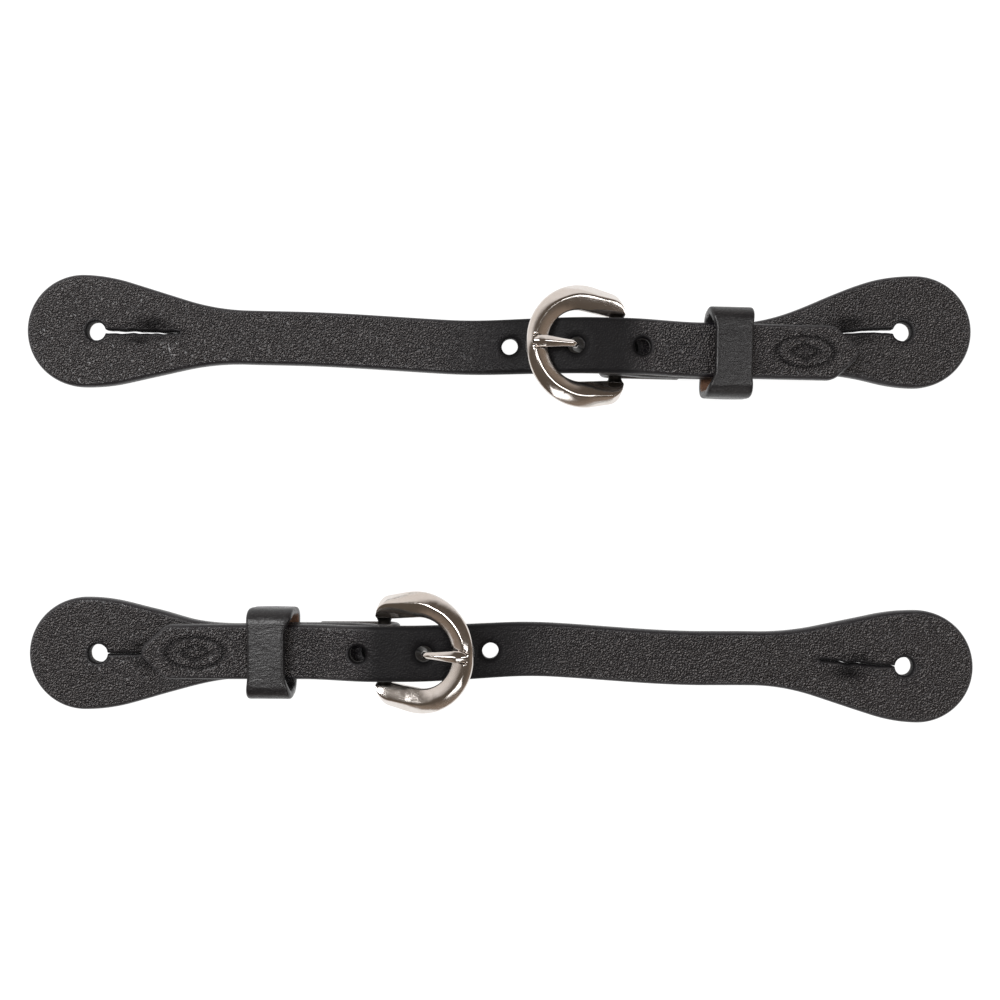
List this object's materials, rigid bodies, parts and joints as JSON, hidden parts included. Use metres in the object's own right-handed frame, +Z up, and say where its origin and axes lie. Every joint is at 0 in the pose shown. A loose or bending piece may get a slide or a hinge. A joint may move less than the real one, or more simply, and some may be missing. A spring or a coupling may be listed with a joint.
{
  "type": "pair of spur straps",
  "caption": "Pair of black leather spur straps with button-hole paddle ends, pointed billets, loose keepers and nickel horseshoe buckles.",
  "frame": {"origin": "on the table, midway between the two straps (bottom centre of the bounding box)", "axes": "+X along the straps, from the left strap's billet paddle to its chape paddle; +Y across, from the right strap to the left strap; +Z up from the table"},
  "size_m": [0.2813, 0.1334, 0.0173],
  "materials": {
    "strap_leather": "black pebbled strap leather with burnished edges",
    "keeper_leather": "smoother black leather, raw brown inside",
    "nickel": "bright to satin nickel plate",
    "thread": "waxed black thread",
    "staple_wire": "plain steel wire"
  },
  "bodies": {
    "left_chape": {"left_chape_strap": "strap_leather", "left_chape_stitching": "thread"},
    "left_frame": {"left_buckle_frame": "nickel"},
    "left_tongue": {"left_buckle_tongue": "nickel"},
    "left_billet": {"left_billet_strap": "strap_leather"},
    "left_keeper": {"left_keeper_loop": "keeper_leather", "left_keeper_staples": "staple_wire"},
    "right_chape": {"right_chape_strap": "strap_leather", "right_chape_stitching": "thread"},
    "right_frame": {"right_buckle_frame": "nickel"},
    "right_tongue": {"right_buckle_tongue": "nickel"},
    "right_billet": {"right_billet_strap": "strap_leather"},
    "right_keeper": {"right_keeper_loop": "keeper_leather", "right_keeper_staples": "staple_wire"}
  },
  "joints": [
    {"name": "left_frame_pivot", "type": "hinge", "parent": "left_chape", "child": "left_frame", "pos_m": [0.034, 0.0443, 0.00475], "axis": [0.0227, 0.9997, 0], "range_deg": [0, 3]},
    {"name": "left_tongue_swing", "type": "hinge", "parent": "left_frame", "child": "left_tongue", "pos_m": [0.034, 0.0443, 0.00475], "axis": [0.0227, 0.9997, 0], "range_deg": [0, 60]},
    {"name": "left_billet_slide", "type": "slide", "parent": "left_chape", "child": "left_billet", "axis": [0.9997, -0.0227, 0], "range_m": [0, 0.006]},
    {"name": "left_keeper_slide", "type": "slide", "parent": "left_chape", "child": "left_keeper", "axis": [0.9997, -0.0227, 0], "range_m": [-0.003, 0.002]},
    {"name": "right_strap_shift", "type": "slide", "parent": "left_chape", "child": "right_chape", "axis": [0, -1, 0], "range_m": [0, 0.05]},
    {"name": "right_frame_pivot", "type": "hinge", "parent": "right_chape", "child": "right_frame", "pos_m": [-0.034, -0.0442, 0.00475], "axis": [0, -1, 0], "range_deg": [0, 3]},
    {"name": "right_tongue_swing", "type": "hinge", "parent": "right_frame", "child": "right_tongue", "pos_m": [-0.034, -0.0442, 0.00475], "axis": [0, -1, 0], "range_deg": [0, 60]},
    {"name": "right_billet_slide", "type": "slide", "parent": "right_chape", "child": "right_billet", "axis": [-1, 0, 0], "range_m": [0, 0.006]},
    {"name": "right_keeper_slide", "type": "slide", "parent": "right_chape", "child": "right_keeper", "axis": [-1, 0, 0], "range_m": [-0.003, 0.002]}
  ],
  "couplings": [
    {"joint": "left_tongue_swing", "follows": "left_billet_slide", "rad_per_m": 172.41},
    {"joint": "right_tongue_swing", "follows": "right_billet_slide", "rad_per_m": 172.41}
  ]
}
